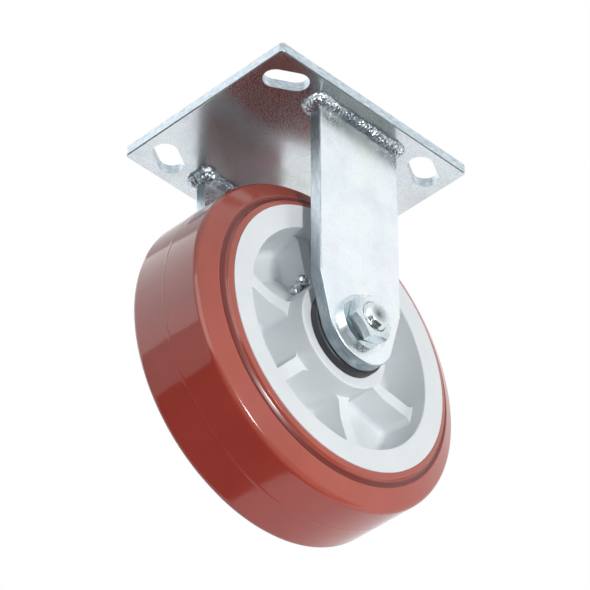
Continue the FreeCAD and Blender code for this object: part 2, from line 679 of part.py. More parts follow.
near_frame = "placement(vector(0; -sizes.leg_gap / 2; 0); rotation(vector(0; 0; 1); 0))"
far_frame = "placement(vector(0; sizes.leg_gap / 2; 0); rotation(vector(0; 0; 1); 0))"
near_leg_y = "(-sizes.leg_gap / 2 - sizes.leg_thickness / 2)"
far_leg_y = "(sizes.leg_gap / 2 + sizes.leg_thickness / 2)"

make_top_plate()
make_leg("leg_nut_side", near_frame, -1)
make_leg("leg_head_side", far_frame, 1)
make_weld("weld_nut_side", near_leg_y)
make_weld("weld_head_side", far_leg_y)
make_axle_bolt()
make_axle_nut()
make_flat_washer("nut_washer", 1)
make_flat_washer("head_washer", -1)
make_inner_sleeve()
make_roller_cage()
make_rollers()
make_thrust_washer("thrust_washer_nut_side", 1)
make_thrust_washer("thrust_washer_head_side", -1)
make_wheel_core()
make_tyre()
make_grease_nipple()
make_nipple_ball()
make_nipple_spring()
check_and_write()
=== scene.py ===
import math
import bpy
import numpy as np
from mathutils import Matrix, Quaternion, Vector


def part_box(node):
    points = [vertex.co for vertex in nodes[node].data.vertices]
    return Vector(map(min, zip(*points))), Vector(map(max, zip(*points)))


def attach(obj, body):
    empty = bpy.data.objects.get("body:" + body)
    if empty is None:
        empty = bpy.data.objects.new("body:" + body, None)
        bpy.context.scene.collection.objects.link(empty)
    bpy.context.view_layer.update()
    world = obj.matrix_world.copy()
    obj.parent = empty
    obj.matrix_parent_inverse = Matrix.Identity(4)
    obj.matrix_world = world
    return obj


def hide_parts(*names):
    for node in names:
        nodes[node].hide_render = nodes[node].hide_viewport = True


# Fixed plate castor: X is the rolling direction, Y the axle, Z up, metres.
# The nut and the grease nipple are on the -Y side, which the camera sees.

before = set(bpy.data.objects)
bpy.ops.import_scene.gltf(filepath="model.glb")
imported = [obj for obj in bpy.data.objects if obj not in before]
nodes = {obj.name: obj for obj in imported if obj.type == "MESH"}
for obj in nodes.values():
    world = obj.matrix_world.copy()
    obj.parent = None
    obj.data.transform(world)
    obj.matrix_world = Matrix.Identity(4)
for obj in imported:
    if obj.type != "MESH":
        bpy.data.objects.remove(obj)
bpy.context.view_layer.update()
millimetre = 0.001
print("frame loaded:", len(nodes), "nodes")


# measures read from the frame

def middle(node):
    low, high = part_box(node)
    return (low + high) / 2


axle = middle("inner_sleeve")
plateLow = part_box("top_plate")[0]
legLow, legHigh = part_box("leg_nut_side")
legThickness = legHigh.y - legLow.y
legWidth = legHigh.x - legLow.x
washerFace = -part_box("nut_washer")[0].y / millimetre


# mesh helpers

def newMesh(name, points, blocks, sharpAngle=38):
    # blocks are face arrays, one for each number of corners; the faces are turned outwards
    points = points.reshape(-1, 3)
    volume = 0
    for block in blocks:
        first = points[block[:, 0]]
        for k in range(1, block.shape[1] - 1):
            across = np.cross(points[block[:, k]], points[block[:, k + 1]])
            volume += np.einsum("ij,ij->i", first, across).sum()
    faces = [face for block in blocks for face in (block[:, ::-1] if volume < 0 else block).tolist()]
    mesh = bpy.data.meshes.new(name)
    mesh.from_pydata(points.tolist(), [], faces)
    mesh.polygons.foreach_set("use_smooth", np.ones(len(mesh.polygons), bool))
    mesh.set_sharp_from_angle(angle=math.radians(sharpAngle))
    mesh.update()
    obj = bpy.data.objects.new(name, mesh)
    bpy.context.scene.collection.objects.link(obj)
    return obj


def gridFaces(rows, columns, closedRows=False, closedColumns=False):
    # quads between neighbouring points of a rows x columns grid
    r = np.arange(rows if closedRows else rows - 1)
    c = np.arange(columns if closedColumns else columns - 1)
    r, c = np.meshgrid(r, c, indexing="ij")
    here, below = r * columns, (r + 1) % rows * columns
    nextC = (c + 1) % columns
    return np.stack([here + c, here + nextC, below + nextC, below + c], -1).reshape(-1, 4)


def roundedPath(corners, step):
    # a closed outline of (radius, height, rounding) corners: each corner becomes an arc, and
    # the straight runs are divided into equal lengths no longer than the step
    arcs = []
    for before, here, after in zip(corners[-1:] + corners[:-1], corners, corners[1:] + corners[:1]):
        point, size = np.array(here[:2], float), here[2]
        if size == 0:
            arcs.append(point[None])
            continue
        back, ahead = np.array(before[:2]) - point, np.array(after[:2]) - point
        back, ahead = back / np.linalg.norm(back), ahead / np.linalg.norm(ahead)
        half = math.acos(np.clip(back @ ahead, -1, 1)) / 2
        centre = point + (back + ahead) / np.linalg.norm(back + ahead) * size / math.sin(half)
        reach = size / math.tan(half)
        start, end = point + back * reach - centre, point + ahead * reach - centre
        turn = math.atan2(start[0] * end[1] - start[1] * end[0], start @ end)
        count = max(4, math.ceil(abs(turn) * size / (0.35 * step)))
        angle = math.atan2(start[1], start[0]) + turn * np.linspace(0, 1, count)
        arcs.append(centre + size * np.stack([np.cos(angle), np.sin(angle)], -1))
    rings = []
    for arc, following in zip(arcs, arcs[1:] + arcs[:1]):
        gap = np.linalg.norm(following[0] - arc[-1])
        count = max(1, math.ceil(gap / step))
        share = np.arange(1, count)[:, None] / count
        rings += [arc, arc[-1] + (following[0] - arc[-1]) * share]
    return np.concatenate(rings)


def onAxle(points):
    # from the axle's own axes, in which z runs towards the nut, to the frame's
    x, y, z = points[..., 0], points[..., 1], points[..., 2]
    return np.stack([x, -z, axle.z + y], -1)


def turnedPiece(name, rings, segments, turn=0.0, closed=True, place=onAxle, sharpAngle=38):
    # rings of (radius, height), each a number or one number a column, turned about z:
    # x = r cos a, y = r sin a, z = h; open stacks of rings end in two small flat caps
    angle = math.radians(turn) + np.linspace(0, 2 * math.pi, segments, endpoint=False)
    radius = np.stack([np.broadcast_to(r, segments) for r, h in rings])
    height = np.stack([np.broadcast_to(h, segments) for r, h in rings])
    points = place(np.stack([radius * np.cos(angle), radius * np.sin(angle), height], -1) * millimetre)
    blocks = [gridFaces(len(rings), segments, closedRows=closed, closedColumns=True)]
    if not closed:
        cap = np.arange(segments)[None]
        blocks += [cap[:, ::-1], cap + (len(rings) - 1) * segments]
    return newMesh(name, points, blocks, sharpAngle)


def hexagonRadius(segments, acrossFlats):
    # distance from a hexagon's centre to its side, corners at multiples of 60 degrees:
    # half the width over the cosine of the angle from the middle of the side
    angle = np.linspace(0, 2 * math.pi, segments, endpoint=False)
    return acrossFlats / 2 / np.cos((angle % (math.pi / 3)) - math.pi / 6)


def randomField(seed, shape, smoothness):
    # seeded noise that repeats both ways, smoothed by a Gaussian on its spectrum, of unit spread
    noise = np.random.default_rng(seed).standard_normal(shape)
    rows, columns = np.fft.fftfreq(shape[0])[:, None], np.fft.fftfreq(shape[1])[None]
    blur = np.exp(-2 * math.pi ** 2 * ((rows * smoothness[0]) ** 2 + (columns * smoothness[1]) ** 2))
    field = np.fft.ifft2(np.fft.fft2(noise) * blur).real
    return field / field.std()


def setAttribute(piece, name, values):
    layer = piece.data.attributes.new(name, "FLOAT", "POINT")
    layer.data.foreach_set("value", np.ascontiguousarray(values, dtype=np.float32).ravel())


def dress(piece, body, slot, material, *replaced):
    piece.data.materials.append(material)
    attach(piece, body)
    if replaced:
        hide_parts(*replaced)


# shader helpers

def newMaterial(name):
    material = bpy.data.materials.new(name)
    material.use_nodes = True
    tree = material.node_tree
    return material, tree, tree.nodes["Principled BSDF"]


def addNode(tree, kind, **settings):
    node = tree.nodes.new(kind)
    for key, value in settings.items():
        setattr(node, key, value)
    return node


def link(tree, source, target):
    tree.links.new(source, target)


def addRamp(tree, source, stops):
    # stops: (position, colour or grey) pairs
    ramp = addNode(tree, "ShaderNodeValToRGB")
    elements = ramp.color_ramp.elements
    while len(elements) < len(stops):
        elements.new(0.5)
    for element, (position, colour) in zip(elements, stops):
        element.position = position
        element.color = tuple(colour) + (1,) if hasattr(colour, "__len__") else (colour, colour, colour, 1)
    link(tree, source, ramp.inputs["Fac"])
    return ramp.outputs["Color"]


def addMath(tree, operation, first, second):
    node = addNode(tree, "ShaderNodeMath", operation=operation)
    for socket, value in zip(node.inputs, (first, second)):
        if isinstance(value, (int, float)):
            socket.default_value = value
        else:
            link(tree, value, socket)
    return node.outputs[0]


def addMix(tree, factor, first, second, blend="MIX"):
    node = addNode(tree, "ShaderNodeMix", data_type="RGBA", blend_type=blend)
    for socket, value in ((node.inputs[0], factor), (node.inputs[6], first), (node.inputs[7], second)):
        if hasattr(value, "links"):
            link(tree, value, socket)
        elif hasattr(value, "__len__"):
            socket.default_value = tuple(value) + (1,)
        else:
            socket.default_value = value
    return node.outputs[2]


def addNoise(tree, vector, scale, detail=3.0, roughness=0.5, distortion=0.0):
    noise = addNode(tree, "ShaderNodeTexNoise")
    noise.inputs["Scale"].default_value = scale
    noise.inputs["Detail"].default_value = detail
    noise.inputs["Roughness"].default_value = roughness
    noise.inputs["Distortion"].default_value = distortion
    link(tree, vector, noise.inputs["Vector"])
    return noise.outputs["Fac"]


def stretched(tree, vector, scale):
    mapping = addNode(tree, "ShaderNodeMapping")
    mapping.inputs["Scale"].default_value = scale
    link(tree, vector, mapping.inputs["Vector"])
    return mapping.outputs["Vector"]


def objectCoordinates(tree):
    return addNode(tree, "ShaderNodeTexCoord").outputs["Object"]


def addBump(tree, height, strength, distance, normal=None):
    bump = addNode(tree, "ShaderNodeBump")
    bump.inputs["Strength"].default_value = strength
    bump.inputs["Distance"].default_value = distance
    link(tree, height, bump.inputs["Height"])
    if normal is not None:
        link(tree, normal, bump.inputs["Normal"])
    return bump.outputs["Normal"]


def paint(material, *names):
    for name in names:
        mesh = nodes[name].data
        mesh.materials.clear()
        mesh.materials.append(material)


# shared effect: the fine crystals of a zinc coat, with paler and duller patches

zincCoatLook = {
    "patchScale": 55,
    "grainScale": 900,
    "grainShare": 0.5,
}


def buildZincCoat():
    group = bpy.data.node_groups.new("zincCoat", "ShaderNodeTree")
    face = group.interface
    face.new_socket("Speckle Size", in_out="INPUT", socket_type="NodeSocketFloat").default_value = 0.4
    face.new_socket("Contrast", in_out="INPUT", socket_type="NodeSocketFloat").default_value = 0.5
    face.new_socket("Patches", in_out="OUTPUT", socket_type="NodeSocketFloat")
    face.new_socket("Speckle", in_out="OUTPUT", socket_type="NodeSocketFloat")
    face.new_socket("Height", in_out="OUTPUT", socket_type="NodeSocketFloat")
    given = addNode(group, "NodeGroupInput")
    out = addNode(group, "NodeGroupOutput")
    place = objectCoordinates(group)
    scale = addMath(group, "DIVIDE", 1 / millimetre, given.outputs["Speckle Size"])
    fine = addNode(group, "ShaderNodeTexNoise")
    fine.inputs["Detail"].default_value = 2
    link(group, place, fine.inputs["Vector"])
    link(group, scale, fine.inputs["Scale"])
    coarse = addNoise(group, place, zincCoatLook["patchScale"], detail=4, roughness=0.6)
    grain = addNoise(group, place, zincCoatLook["grainScale"], detail=3, roughness=0.7)
    speckle = addMath(group, "MULTIPLY", addMath(group, "SUBTRACT", fine.outputs["Fac"], 0.5),
                      given.outputs["Contrast"])
    link(group, coarse, out.inputs["Patches"])
    link(group, speckle, out.inputs["Speckle"])
    grain = addMath(group, "MULTIPLY", grain, zincCoatLook["grainShare"])
    link(group, addMath(group, "ADD", fine.outputs["Fac"], grain), out.inputs["Height"])
    return group


zincCoat = buildZincCoat()


def placeZincCoat(tree, size, contrast):
    coat = addNode(tree, "ShaderNodeGroup")
    coat.node_tree = zincCoat
    coat.inputs["Speckle Size"].default_value = size
    coat.inputs["Contrast"].default_value = contrast
    return coat


def addTint(tree, colour, seedShift, tint, scale, spread):
    # a faint tint that comes and goes in broad clouds, as on passivated zinc
    place = addNode(tree, "ShaderNodeVectorMath", operation="ADD")
    place.inputs[1].default_value = seedShift
    link(tree, objectCoordinates(tree), place.inputs[0])
    noise = addNoise(tree, place.outputs[0], scale, detail=3)
    clouds = addRamp(tree, noise, [(0.5, 0.0), (0.5 + spread, 1.0)])
    return addMix(tree, clouds, colour, addMix(tree, 1.0, colour, tint, blend="MULTIPLY"))


plateSteel = {
    "colour": (0.69, 0.74, 0.765),
    "dullColour": (0.60, 0.655, 0.69),
    "yellowTint": (1.0, 0.985, 0.93),
    "yellowCloud": 42,
    "roseTint": (0.985, 0.955, 0.99),
    "roseCloud": 60,
    "roughness": (0.15, 0.26),
    "speckleSize": 0.45,
    "speckleContrast": 0.6,
    "bump": 0.25,
    "bumpDepth": 0.16,
    "faceBump": 0.12,
    "edgeColour": (0.60, 0.69, 0.75),
    "edgeDark": (0.40, 0.48, 0.54),
    "edgePale": (0.80, 0.87, 0.91),
    # painted shade for the cut edges that face along X
    "paintedEndShadeColour": (0.12, 0.14, 0.16),
    "edgeRoughness": 0.34,
    "edgeStreaks": 1500,
    "metallic": 0.97,
    "crystalScale": 2300,
    "crystalRoughness": 0.62,
}

# the legs are flat bar, paler and more satin than the rolled plate
legSteel = {
    **plateSteel,
    "colour": (0.875, 0.935, 0.965),
    "dullColour": (0.76, 0.83, 0.875),
    "roughness": (0.25, 0.36),
}


def sheetSteelMaterial(name, look, faceAxis, along, paintedEndShade):
    # flat faces are smooth plated sheet; the cut edges have streaks that run along them, and those that face
    # along X are darkened by a painted shade, whose share is the last argument
    material, tree, shader = newMaterial(name)
    coat = placeZincCoat(tree, look["speckleSize"], look["speckleContrast"])
    tone = addMath(tree, "ADD", coat.outputs["Patches"], coat.outputs["Speckle"])
    face = addRamp(tree, tone, [(0.26, look["dullColour"]), (0.56, look["colour"])])
    face = addTint(tree, face, (0.3, 0.1, 0.7), look["yellowTint"], look["yellowCloud"], 0.18)
    face = addTint(tree, face, (0.9, 0.5, 0.2), look["roseTint"], look["roseCloud"], 0.15)
    faceRough = addRamp(tree, tone, [(0.30, look["roughness"][1]), (0.62, look["roughness"][0])])
    place = addNode(tree, "ShaderNodeTexCoord")
    # scattered crystals are much duller and catch light from all round
    crystals = addRamp(tree, addNoise(tree, place.outputs["Object"], look["crystalScale"], detail=1),
                       [(0.56, 0.0), (0.66, 1.0)])
    faceRough = addMix(tree, crystals, faceRough, (look["crystalRoughness"],) * 3)
    split = addNode(tree, "ShaderNodeSeparateXYZ")
    link(tree, place.outputs["Normal"], split.inputs[0])
    facing = addMath(tree, "ABSOLUTE", split.outputs[faceAxis], 0.0)
    edge = addRamp(tree, facing, [(0.72, 1.0), (0.93, 0.0)])
    drawn = stretched(tree, place.outputs["Object"], along)
    streaks = addNoise(tree, drawn, look["edgeStreaks"], detail=4, roughness=0.7)
    cut = addRamp(tree, streaks, [(0.34, look["edgeDark"]), (0.52, look["edgeColour"]),
                                  (0.70, look["edgePale"])])
    # painted shade: the edges facing along X are mixed towards a dark colour
    ends = addMath(tree, "MULTIPLY", addMath(tree, "ABSOLUTE", split.outputs["X"], 0.0), paintedEndShade)
    cut = addMix(tree, ends, cut, look["paintedEndShadeColour"])
    link(tree, addMix(tree, edge, face, cut), shader.inputs["Base Color"])
    edgeRough = (look["edgeRoughness"],) * 3
    link(tree, addMix(tree, edge, faceRough, edgeRough), shader.inputs["Roughness"])
    shader.inputs["Metallic"].default_value = look["metallic"]
    height = addMix(tree, edge, addMath(tree, "MULTIPLY", coat.outputs["Height"], look["faceBump"]), streaks)
    link(tree, addBump(tree, height, look["bump"], look["bumpDepth"] * millimetre), shader.inputs["Normal"])
    return material


hardwareSteel = {
    "colour": (0.86, 0.92, 0.935),
    "dullColour": (0.50, 0.59, 0.63),
    "roughness": (0.13, 0.24),
    "speckleSize": 0.35,
    "speckleContrast": 1.1,
    "bump": 0.7,
}
weldMetal = {
    "colour": (0.74, 0.79, 0.83),
    "dullColour": (0.13, 0.17, 0.20),
    "roughness": (0.22, 0.45),
    "speckleSize": 0.30,
    "speckleContrast": 1.5,
    "bump": 1.0,
}
nippleSteel = {
    "colour": (0.74, 0.78, 0.81),
    "dullColour": (0.34, 0.38, 0.42),
    "roughness": (0.10, 0.22),
    "speckleSize": 0.30,
    "speckleContrast": 0.8,
    "bump": 0.35,
}
bearingSteel = {
    "colour": (0.70, 0.71, 0.72),
    "dullColour": (0.60, 0.61, 0.62),
    "roughness": (0.10, 0.18),
    "speckleSize": 0.2,
    "speckleContrast": 0.1,
    "bump": 0.05,
}
# painted shade, mixed in by the attribute on the bolt's dished end
paintedSteelShade = (0.10, 0.12, 0.14)
steelBumpDepth = 0.02


def zincSteelMaterial(name, look):
    material, tree, shader = newMaterial(name)
    coat = placeZincCoat(tree, look["speckleSize"], look["speckleContrast"])
    tone = addMath(tree, "ADD", coat.outputs["Patches"], coat.outputs["Speckle"])
    colour = addRamp(tree, tone, [(0.30, look["dullColour"]), (0.62, look["colour"])])
    rough = addRamp(tree, tone, [(0.30, look["roughness"][1]), (0.62, look["roughness"][0])])
    # the attribute is a painted shade on the dished end of the bolt, and is 0 on all other pieces
    paintedShade = addNode(tree, "ShaderNodeAttribute", attribute_name="paintedShade").outputs["Fac"]
    link(tree, addMix(tree, paintedShade, colour, paintedSteelShade), shader.inputs["Base Color"])
    link(tree, rough, shader.inputs["Roughness"])
    shader.inputs["Metallic"].default_value = 1
    bump = addBump(tree, coat.outputs["Height"], look["bump"], steelBumpDepth * millimetre)
    link(tree, bump, shader.inputs["Normal"])
    return material


polyurethane = {
    "colour": (0.51, 0.066, 0.046),
    "deepColour": (0.43, 0.052, 0.036),
    "sideColour": (0.45, 0.100, 0.070),
    "sideDeepColour": (0.40, 0.084, 0.060),
    "roughness": (0.07, 0.12),
    "sideRoughness": 0.16,
    # painted shade in the channel between the side ring and the bevel
    "paintedChannelShade": (0.16, 0.024, 0.018),
    "channelRoughness": 0.34,
    "flowScale": 24,
    "hazeScale": 260,
    "rippleScale": 60,
    "dustScale": 2600,
    "dustShare": 0.04,
    "bump": 0.10,
    "bumpDepth": 0.30,
}


def polyurethaneMaterial(name, look):
    # the ground tread is deep and glossy; the cast sides are paler and satin
    material, tree, shader = newMaterial(name)
    place = objectCoordinates(tree)
    side = addNode(tree, "ShaderNodeAttribute", attribute_name="side").outputs["Fac"]
    flow = addNoise(tree, stretched(tree, place, (1, 0.4, 1)), look["flowScale"], detail=5, roughness=0.6)
    tread = addRamp(tree, flow, [(0.35, look["deepColour"]), (0.65, look["colour"])])
    cast = addRamp(tree, flow, [(0.35, look["sideDeepColour"]), (0.65, look["sideColour"])])
    # the channel is painted dark as its shade, and made rougher
    channel = addNode(tree, "ShaderNodeAttribute", attribute_name="channel").outputs["Fac"]
    colour = addMix(tree, channel, addMix(tree, side, tread, cast), look["paintedChannelShade"])
    link(tree, colour, shader.inputs["Base Color"])
    haze = addNoise(tree, place, look["hazeScale"], detail=5, roughness=0.65)
    low, high = look["roughness"]
    gloss = addRamp(tree, haze, [(0.3, low), (0.7, high)])
    rough = addMix(tree, side, gloss, (look["sideRoughness"],) * 3)
    link(tree, addMix(tree, channel, rough, (look["channelRoughness"],) * 3), shader.inputs["Roughness"])
    shader.inputs["IOR"].default_value = 1.5
    shader.inputs["Subsurface Weight"].default_value = 0.05
    shader.inputs["Subsurface Radius"].default_value = (0.004, 0.0006, 0.0004)
    shader.inputs["Subsurface Scale"].default_value = 1
    ripple = addNoise(tree, stretched(tree, place, (1, 0.35, 1)), look["rippleScale"], detail=3)
    dust = addNoise(tree, place, look["dustScale"], detail=2)
    height = addMath(tree, "ADD", ripple, addMath(tree, "MULTIPLY", dust, look["dustShare"]))
    link(tree, addBump(tree, height, look["bump"], look["bumpDepth"] * millimetre), shader.inputs["Normal"])
    return material


coreMoulding = {
    "colour": (0.83, 0.86, 0.875),
    "shadeColour": (0.76, 0.795, 0.815),
    "roughness": (0.32, 0.46),
    "flowScale": 40,
    "grainScale": 1400,
    "grainShare": 0.06,
    "sinkScale": 75,
    "bump": 0.12,
    "bumpDepth": 0.4,
}


def coreMaterial(name, look):
    material, tree, shader = newMaterial(name)
    place = objectCoordinates(tree)
    flow = addNoise(tree, place, look["flowScale"], detail=5, roughness=0.6)
    colour = addRamp(tree, flow, [(0.3, look["shadeColour"]), (0.7, look["colour"])])
    link(tree, colour, shader.inputs["Base Color"])
    grain = addNoise(tree, place, look["grainScale"], detail=3, roughness=0.6)
    low, high = look["roughness"]
    link(tree, addRamp(tree, grain, [(0.35, low), (0.65, high)]), shader.inputs["Roughness"])
    shader.inputs["IOR"].default_value = 1.49
    shader.inputs["Subsurface Weight"].default_value = 0.10
    shader.inputs["Subsurface Radius"].default_value = (0.0012, 0.0012, 0.0013)
    shader.inputs["Subsurface Scale"].default_value = 1
    # broad sink marks, with the mould's fine grain on them
    sink = addNoise(tree, place, look["sinkScale"], detail=1)
    height = addMath(tree, "ADD", sink, addMath(tree, "MULTIPLY", grain, look["grainShare"]))
    link(tree, addBump(tree, height, look["bump"], look["bumpDepth"] * millimetre), shader.inputs["Normal"])
    return material


blackPlastic = {
    "colour": (0.022, 0.024, 0.028),
    "dustColour": (0.045, 0.047, 0.05),
    "roughness": (0.35, 0.6),
    "dustScale": 300,
    "bump": 0.15,
    "bumpDepth": 0.05,
}


def blackPlasticMaterial(name, look):
    material, tree, shader = newMaterial(name)
    place = objectCoordinates(tree)
    dust = addNoise(tree, place, look["dustScale"], detail=4, roughness=0.7)
    colour = addRamp(tree, dust, [(0.4, look["colour"]), (0.8, look["dustColour"])])
    link(tree, colour, shader.inputs["Base Color"])
    low, high = look["roughness"]
    link(tree, addRamp(tree, dust, [(0.3, low), (0.7, high)]), shader.inputs["Roughness"])
    link(tree, addBump(tree, dust, look["bump"], look["bumpDepth"] * millimetre), shader.inputs["Normal"])
    return material


# the last number is the share of painted shade on the cut edges that face along X
plateFinish = sheetSteelMaterial("zincPlate", plateSteel, "Z", (0.25, 0.25, 1), 0.5)
legFinish = sheetSteelMaterial("zincLegs", legSteel, "Y", (0.15, 1, 0.15), 0.45)
hardware = zincSteelMaterial("zincHardware", hardwareSteel)
weld = zincSteelMaterial("weldMetal", weldMetal)
nippleFinish = zincSteelMaterial("nippleSteel", nippleSteel)
bearing = zincSteelMaterial("bearingSteel", bearingSteel)
maroon = polyurethaneMaterial("maroonPolyurethane", polyurethane)
core = coreMaterial("corePlastic", coreMoulding)
black = blackPlasticMaterial("blackPlastic", blackPlastic)
paint(plateFinish, "top_plate")
paint(legFinish, "leg_nut_side", "leg_head_side")
paint(bearing, "inner_sleeve", "roller_cage", "nipple_ball", "nipple_spring",
      *[name for name in nodes if name.startswith("roller_") and name != "roller_cage"])
paint(hardware, "nut_washer", "head_washer")
paint(core, "wheel_core")
paint(black, "thrust_washer_nut_side", "thrust_washer_head_side")
print("materials made")


# tyre

tyreShape = {
    "radius": 76.10,
    "seat": 61.6,
    "keyTop": 64.9,
    "keyHalf": 11,
    "keyFoot": 15,
    "treadHalf": 18.4,
    "shoulder": 3.2,
    "sideRing": [(61.62, 26.08, 0.12), (62.4, 26.08, 0.5), (64.1, 25.55, 0.35)],
    "groove": [(64.5, 24.3, 0.4), (66.0, 23.15, 0.9)],
    "lip": (67.4, 23.4, 0.4),
    "partingHeight": 0.07,
    "partingWidth": 0.28,
    "partingDrift": 0.3,
    "partingRings": (1.2, 0.6, 0.3, 0.15),
    "waviness": 0.018,
    "wavesFrom": 66.5,
    "wavesFade": 4,
    "treadOverlap": 0.9,
    "sideFade": 0.5,
    "channelFade": 0.4,
    "step": 0.75,
    "segments": 420,
}


def makeTyre():
    # a closed profile of rounded corners, the same on both sides of the middle, turned about the axle
    shape = tyreShape
    half = [(shape["keyTop"], shape["keyHalf"], 0), (shape["seat"], shape["keyFoot"], 0)]
    half += shape["sideRing"] + shape["groove"] + [shape["lip"]]
    half += [(shape["radius"], shape["treadHalf"], shape["shoulder"])]
    above = list(shape["partingRings"])
    middleRings = [(shape["radius"], h, 0) for h in above + [0] + [-h for h in reversed(above)]]
    mirrored = [(r, -h, rounding) for r, h, rounding in reversed(half)]
    path = roundedPath(half + middleRings + mirrored, shape["step"])
    radius, height = path[:, 0][:, None], path[:, 1][:, None]
    # the parting line is a fine raised seam: a Gaussian across the tread's middle.
    # the cast surface is a little uneven: three slow waves round the tread
    angle = np.linspace(0, 2 * math.pi, shape["segments"], endpoint=False)[None]
    outside = np.clip((radius - shape["wavesFrom"]) / shape["wavesFade"], 0, 1)
    drift = shape["partingDrift"] * np.cos(angle)
    seam = shape["partingHeight"] * np.exp(-((height - drift) / shape["partingWidth"]) ** 2)
    waves = (np.cos(7 * angle + height / 9) + 0.6 * np.cos(13 * angle - height / 6 + 1)
             + 0.5 * np.cos(29 * angle + height / 4 + 2))
    onTread = radius > shape["radius"] - 1.1
    outer = radius + outside * (shape["waviness"] * waves + seam * onTread)
    rings = list(zip(outer, np.broadcast_to(height, outer.shape)))
    tyre = turnedPiece("tyreCast", rings, shape["segments"])
    # past the tread the side is 1, and the channel between ring and bevel gets a painted shade with a soft
    # rim
    past = np.abs(height) - shape["treadHalf"]
    side = np.clip((past + shape["treadOverlap"]) / shape["sideFade"], 0, 1)
    inner, lip = shape["groove"][0][0], shape["lip"][0]
    channel = np.clip(np.minimum(radius - inner, lip - radius) / shape["channelFade"], 0, 1) * (past > 0)
    setAttribute(tyre, "side", np.broadcast_to(side, outer.shape))
    setAttribute(tyre, "channel", np.broadcast_to(channel, outer.shape))
    return tyre


dress(makeTyre(), "wheel", "maroon_polyurethane", maroon, "tyre")
print("tyre made")


# weld beads

beadShape = {
    "size": 3.9,
    "toe": 0.42,
    "rippleHeight": 0.10,
    "ripplePitch": 1.9,
    "rippleBow": 1.5,
    "grain": 0.10,
    "grainSmoothness": (2.2, 1.6),
    "lumps": 0.16,
    "lumpSmoothness": (7, 4),
    "toeSmoothness": (28, 1),
    "swell": 0.7,
    "swellReach": 4.0,
    "flatness": 1.15,
    "cornerRadius": 0.4,
    "step": 0.13,
    "stepReach": 4,
    "sections": 30,
    "backSections": 7,
}


def makeBead(name, legCentre, seed):
    # a fillet carried round the leg's foot, whose path is a rectangle with small round corners
    shape = beadShape
    half = np.array([legWidth, legThickness]) / 2 / millimetre
    corner = shape["cornerRadius"]
    path = roundedPath([(half[0], half[1], corner), (-half[0], half[1], corner),
                        (-half[0], -half[1], corner), (half[0], -half[1], corner)], shape["step"])
    ahead = np.roll(path, -1, axis=0) - np.roll(path, 1, axis=0)
    ahead /= np.linalg.norm(ahead, axis=1)[:, None]
    outward = np.stack([ahead[:, 1], -ahead[:, 0]], -1)
    outward *= np.sign(np.sum(outward * path, axis=1).mean())
    # the steps are equal on the bead's outer side, so that it stays fine as it turns a corner
    outerSide = path + shape["stepReach"] * outward
    run = np.linalg.norm(np.roll(outerSide, -1, axis=0) - outerSide, axis=1)
    along = np.concatenate([[0], np.cumsum(run)])
    count = int(along[-1] / shape["step"])
    wanted = np.linspace(0, along[-1], count, endpoint=False)
    closedPath = np.concatenate([path, path[:1]])
    closedOut = np.concatenate([outward, outward[:1]])
    path = np.stack([np.interp(wanted, along, closedPath[:, k]) for k in (0, 1)], -1)
    outward = np.stack([np.interp(wanted, along, closedOut[:, k]) for k in (0, 1)], -1)
    outward /= np.linalg.norm(outward, axis=1)[:, None]
    # across, from the plate to the leg: out = width cos^f, down = depth sin^f, a quarter ellipse
    # flattened a little, with bowed ripples and grain on it, then back along the leg and the plate
    share = np.linspace(0, 1, shape["sections"])[None]
    theta = share * math.pi / 2
    slow = randomField(seed, (count, 4), shape["toeSmoothness"])
    # the run starts and ends at the -X corner, where the bead swells by a Gaussian of the distance
    fromStart = np.linalg.norm(path - np.array([-half[0], -half[1]]), axis=1)[:, None]
    swell = shape["swell"] * np.exp(-(fromStart / shape["swellReach"]) ** 2)
    toe = shape["toe"] * np.clip(slow[:, :2], -1.2, 1.2)
    width = shape["size"] + toe[:, :1] + swell
    depth = shape["size"] + toe[:, 1:] + 0.6 * swell
    bow = shape["rippleBow"] * np.sin(theta * 2) + 0.5 * slow[:, 2:3]
    phase = (wanted[:, None] + bow) / shape["ripplePitch"]
    ripple = shape["rippleHeight"] * (np.abs(np.cos(math.pi * phase)) - 0.5)
    grain = shape["grain"] * randomField(seed + 1, (count, shape["sections"]), shape["grainSmoothness"])
    lumps = shape["lumps"] * randomField(seed + 2, (count, shape["sections"]), shape["lumpSmoothness"])
    rough = np.clip((ripple + grain + lumps) * np.sin(2 * theta) ** 0.5, -0.6, 0.35)
    out = (width + rough) * np.cos(theta) ** shape["flatness"]
    down = (depth + rough) * np.sin(theta) ** shape["flatness"]
    base = np.linspace(1, 0, shape["backSections"])[None, 1:]
    out = np.concatenate([out, 0 * base + 0 * depth, width * (1 - base[:, :-1])], axis=1)
    down = np.concatenate([down, depth * base, 0 * width * base[:, :-1]], axis=1)
    x = path[:, :1] + outward[:, :1] * out
    y = path[:, 1:] + outward[:, 1:] * out
    points = np.stack([x * millimetre, legCentre + y * millimetre, plateLow.z - down * millimetre], -1)
    faces = gridFaces(count, out.shape[1], closedRows=True, closedColumns=True)
    return newMesh(name, points, [faces], sharpAngle=60)


for side, name, node in ((-1, "weldBeadNut", "weld_nut_side"), (1, "weldBeadHead", "weld_head_side")):
    legCentre = side * (abs(legLow.y) + abs(legHigh.y)) / 2
    dress(makeBead(name, legCentre, 11 + side), "fork", "weld_metal", weld, node)
print("weld beads made")


# axle bolt and nut

